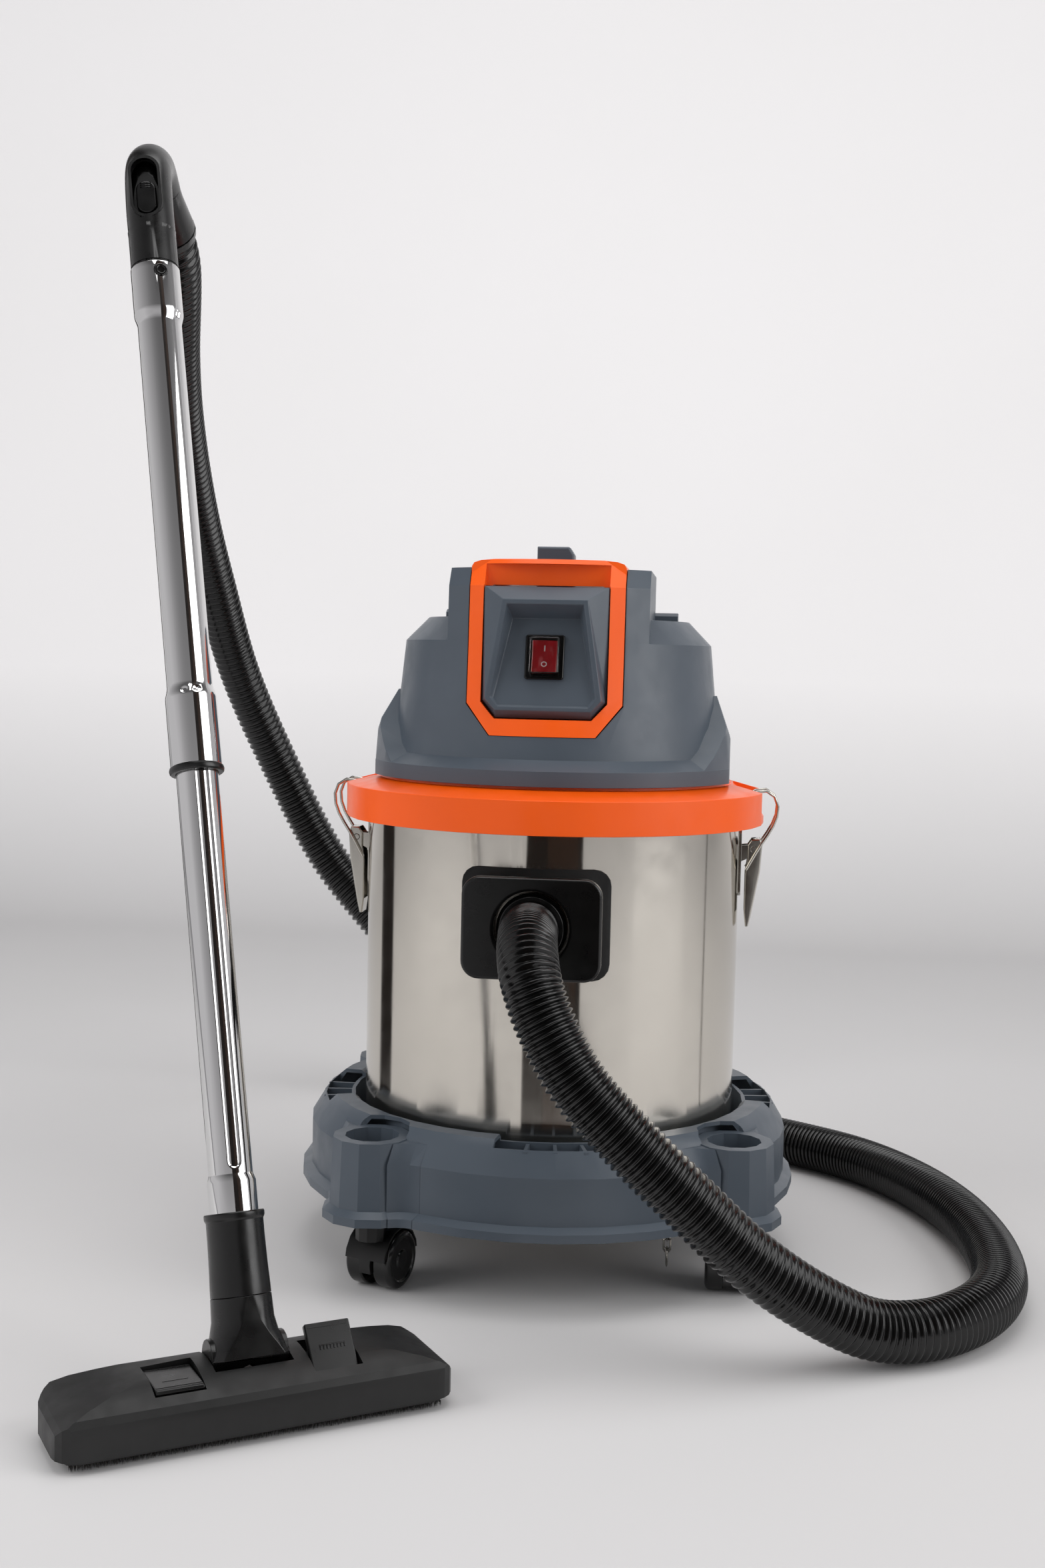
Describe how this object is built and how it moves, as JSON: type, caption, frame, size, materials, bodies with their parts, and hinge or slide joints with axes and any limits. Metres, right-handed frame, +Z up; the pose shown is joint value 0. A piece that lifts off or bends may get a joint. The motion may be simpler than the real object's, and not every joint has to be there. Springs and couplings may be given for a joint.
{
  "type": "shop vacuum",
  "caption": "Drum shop vacuum on a caster dolly: lift-off motor head with latches, ribbed hose, telescoping wand and floor nozzle with pedals.",
  "frame": {"origin": "on the floor, under the middle of the machine and its wand with the hose left out", "axes": "+Z up, the drum's inlet faces -Y, +X to the right seen from the inlet side"},
  "size_m": [0.8756, 1.0769, 0.9641],
  "materials": {
    "slate_plastic": "moulded polypropylene, satin",
    "orange_plastic": "moulded polypropylene, satin",
    "black_plastic": "moulded ABS, fine spark texture",
    "wheel_plastic": "moulded nylon",
    "polished_stainless": "mirror polished sheet",
    "chromed_steel": "bright plated",
    "black_rubber": "moulded",
    "hose_plastic": "ribbed, semi gloss",
    "red_rocker": "translucent red",
    "filter_cloth": "woven",
    "bristle_fibre": "tufted",
    "motor_metal": "cast"
  },
  "bodies": {
    "machine": {"dolly": "slate_plastic", "earthing_chain": "chromed_steel", "drum": "polished_stainless", "inlet_gasket": "black_rubber", "inlet_adapter": "chromed_steel", "inlet_plate": "black_plastic", "hose_inlet_cuff": "black_plastic", "hose": "hose_plastic", "hose_handle_cuff": "black_plastic", "grip_handle": "black_plastic", "upper_tube": "chromed_steel", "tube_collar": "black_plastic", "latch_bracket_left": "chromed_steel", "latch_bracket_right": "chromed_steel"},
    "caster_front_left": {"caster_hood_front_left": "black_plastic"},
    "wheels_front_left": {"caster_axle_front_left": "chromed_steel", "caster_wheel_front_left_left": "wheel_plastic", "caster_wheel_front_left_right": "wheel_plastic"},
    "caster_front_right": {"caster_hood_front_right": "black_plastic"},
    "wheels_front_right": {"caster_axle_front_right": "chromed_steel", "caster_wheel_front_right_left": "wheel_plastic", "caster_wheel_front_right_right": "wheel_plastic"},
    "caster_rear_right": {"caster_hood_rear_right": "black_plastic"},
    "wheels_rear_right": {"caster_axle_rear_right": "chromed_steel", "caster_wheel_rear_right_left": "wheel_plastic", "caster_wheel_rear_right_right": "wheel_plastic"},
    "caster_rear_left": {"caster_hood_rear_left": "black_plastic"},
    "wheels_rear_left": {"caster_axle_rear_left": "chromed_steel", "caster_wheel_rear_left_left": "wheel_plastic", "caster_wheel_rear_left_right": "wheel_plastic"},
    "head": {"collar_ring": "orange_plastic", "tank_seal": "black_rubber", "motor_housing": "slate_plastic", "carrying_frame": "orange_plastic", "switch_panel": "slate_plastic", "switch_bezel": "black_plastic", "top_knob": "slate_plastic", "cord_gland": "black_plastic", "motor": "motor_metal", "float_cage": "black_plastic", "filter_sleeve": "filter_cloth"},
    "rocker": {"switch_rocker": "red_rocker"},
    "fan": {"motor_fan": "motor_metal"},
    "ball": {"float_ball": "black_plastic"},
    "lever_left": {"latch_lever_left": "chromed_steel"},
    "bail_left": {"latch_bail_left": "chromed_steel"},
    "lever_right": {"latch_lever_right": "chromed_steel"},
    "bail_right": {"latch_bail_right": "chromed_steel"},
    "lower_wand": {"lower_tube": "chromed_steel", "nozzle_socket": "black_plastic"},
    "elbow": {"nozzle_elbow": "black_plastic"},
    "nozzle": {"nozzle_body": "black_plastic", "nozzle_sole": "black_plastic", "bristle_front": "bristle_fibre", "bristle_rear": "bristle_fibre"},
    "left_pedal": {"pedal_left": "black_plastic"},
    "right_pedal": {"pedal_right": "black_plastic"},
    "air_slide": {"air_slider": "black_plastic"},
    "lock_button": {"wand_lock_button": "black_plastic"}
  },
  "joints": [
    {"name": "caster_swivel_front_left", "type": "hinge", "parent": "machine", "child": "caster_front_left", "pos_m": [-0.06042, -0.01127, 0], "axis": [0, 0, 1], "continuous": true},
    {"name": "caster_roll_front_left", "type": "hinge", "parent": "caster_front_left", "child": "wheels_front_left", "pos_m": [-0.05397, 0.00553, 0.025], "axis": [0.9336, -0.3584, 0], "continuous": true},
    {"name": "caster_swivel_front_right", "type": "hinge", "parent": "machine", "child": "caster_front_right", "pos_m": [0.24516, 0.02625, 0], "axis": [0, 0, 1], "continuous": true},
    {"name": "caster_roll_front_right", "type": "hinge", "parent": "caster_front_right", "child": "wheels_front_right", "pos_m": [0.24516, 0.04425, 0.025], "axis": [1, 0, 0], "continuous": true},
    {"name": "caster_swivel_rear_right", "type": "hinge", "parent": "machine", "child": "caster_rear_right", "pos_m": [0.20764, 0.33183, 0], "axis": [0, 0, 1], "continuous": true},
    {"name": "caster_roll_rear_right", "type": "hinge", "parent": "caster_rear_right", "child": "wheels_rear_right", "pos_m": [0.19681, 0.3462, 0.025], "axis": [0.7986, 0.6018, 0], "continuous": true},
    {"name": "caster_swivel_rear_left", "type": "hinge", "parent": "machine", "child": "caster_rear_left", "pos_m": [-0.09794, 0.29431, 0], "axis": [0, 0, 1], "continuous": true},
    {"name": "caster_roll_rear_left", "type": "hinge", "parent": "caster_rear_left", "child": "wheels_rear_left", "pos_m": [-0.11398, 0.28614, 0.025], "axis": [-0.454, 0.891, 0], "continuous": true},
    {"name": "head_lift", "type": "slide", "parent": "machine", "child": "head", "axis": [0, 0, 1], "range_m": [0, 0.3]},
    {"name": "latch_right", "type": "hinge", "parent": "machine", "child": "lever_right", "pos_m": [0.25711, 0.16028, 0.372], "axis": [0, -1, 0], "range_deg": [0, 90]},
    {"name": "bail_swing_right", "type": "hinge", "parent": "head", "child": "bail_right", "pos_m": [0.24961, 0.16028, 0.42], "axis": [0, -1, 0], "range_deg": [0, 20]},
    {"name": "latch_left", "type": "hinge", "parent": "machine", "child": "lever_left", "pos_m": [-0.10989, 0.16028, 0.372], "axis": [0, 1, 0], "range_deg": [0, 90]},
    {"name": "bail_swing_left", "type": "hinge", "parent": "head", "child": "bail_left", "pos_m": [-0.10239, 0.16028, 0.42], "axis": [0, 1, 0], "range_deg": [0, 20]},
    {"name": "power_switch", "type": "hinge", "parent": "head", "child": "rocker", "pos_m": [0.07361, 0.02781, 0.54205], "axis": [1, 0, 0], "range_deg": [0, 9]},
    {"name": "fan_spin", "type": "hinge", "parent": "head", "child": "fan", "pos_m": [0.07361, 0.16028, 0.4583], "axis": [0, 0, 1], "continuous": true},
    {"name": "float_rise", "type": "slide", "parent": "head", "child": "ball", "axis": [0, 0, 1], "range_m": [0, 0.042]},
    {"name": "tube_telescope", "type": "slide", "parent": "machine", "child": "lower_wand", "axis": [-0.1701, 0.2659, 0.9489], "range_m": [0, 0.25]},
    {"name": "wand_swivel", "type": "hinge", "parent": "lower_wand", "child": "elbow", "pos_m": [-0.09939, -0.27472, 0.045], "axis": [-0.1701, 0.2659, 0.9489], "range_deg": [-90, 90]},
    {"name": "nozzle_pitch", "type": "hinge", "parent": "elbow", "child": "nozzle", "pos_m": [-0.09939, -0.27472, 0.045], "axis": [0.8425, 0.5388, 0], "range_deg": [-18, 45]},
    {"name": "pedal_press_right", "type": "hinge", "parent": "nozzle", "child": "right_pedal", "pos_m": [-0.03844, -0.26423, 0.041], "axis": [0.8425, 0.5388, 0], "range_deg": [-50, 0]},
    {"name": "pedal_press_left", "type": "hinge", "parent": "nozzle", "child": "left_pedal", "pos_m": [-0.13448, -0.32565, 0.041], "axis": [0.8425, 0.5388, 0], "range_deg": [0, 50]},
    {"name": "air_slider_travel", "type": "slide", "parent": "machine", "child": "air_slide", "axis": [-0.1701, 0.2659, 0.9489], "range_m": [0, 0.016]},
    {"name": "lock_button_press", "type": "slide", "parent": "machine", "child": "lock_button", "axis": [-0.4664, 0.8265, -0.3152], "range_m": [0, 0.0025], "stiffness_N_per_m": 400}
  ],
  "couplings": [
    {"joint": "pedal_press_left", "follows": "pedal_press_right", "ratio": -1}
  ]
}
